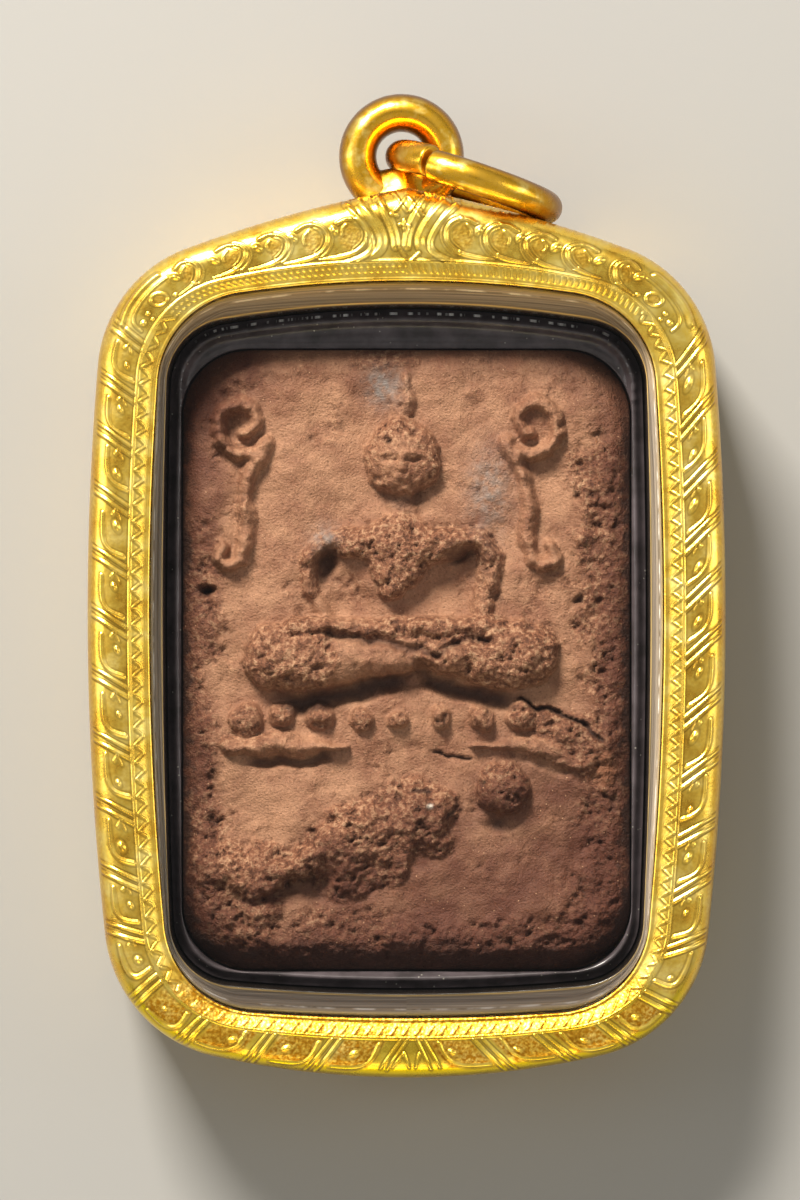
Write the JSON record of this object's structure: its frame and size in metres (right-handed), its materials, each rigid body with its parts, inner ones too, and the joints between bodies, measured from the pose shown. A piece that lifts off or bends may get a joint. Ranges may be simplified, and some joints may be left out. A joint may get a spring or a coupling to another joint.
{
  "type": "thai buddha amulet pendant in a clear case with a gold frame",
  "caption": "Rounded clay tablet with a seated figure in raised relief, in a clear case with a gold frame whose bail carries a swinging jump ring.",
  "frame": {"origin": "on the surface it lies on, under the middle of the whole pendant's box", "axes": "+Z out of the front face, +Y from the bottom edge to the bail, +X to the right as seen from the front"},
  "size_m": [0.0354, 0.0548, 0.0104],
  "materials": {
    "gold": "polished, engraved and lightly worn",
    "clear_case": "clear acrylic, polished, lightly scratched",
    "seat": "smooth, near black",
    "clay": "fired clay, worn, gritty"
  },
  "bodies": {
    "case": {"gold_frame": "gold", "case_front": "clear_case", "case_back": "clear_case", "seat": "seat", "tablet": "clay"},
    "ring": {"jump_ring": "gold"}
  },
  "joints": [
    {"name": "ring_swing", "type": "hinge", "parent": "case", "child": "ring", "pos_m": [-0.00028, 0.0239, 0.0048], "axis": [0, 0, 1], "range_deg": [0, 217]}
  ]
}
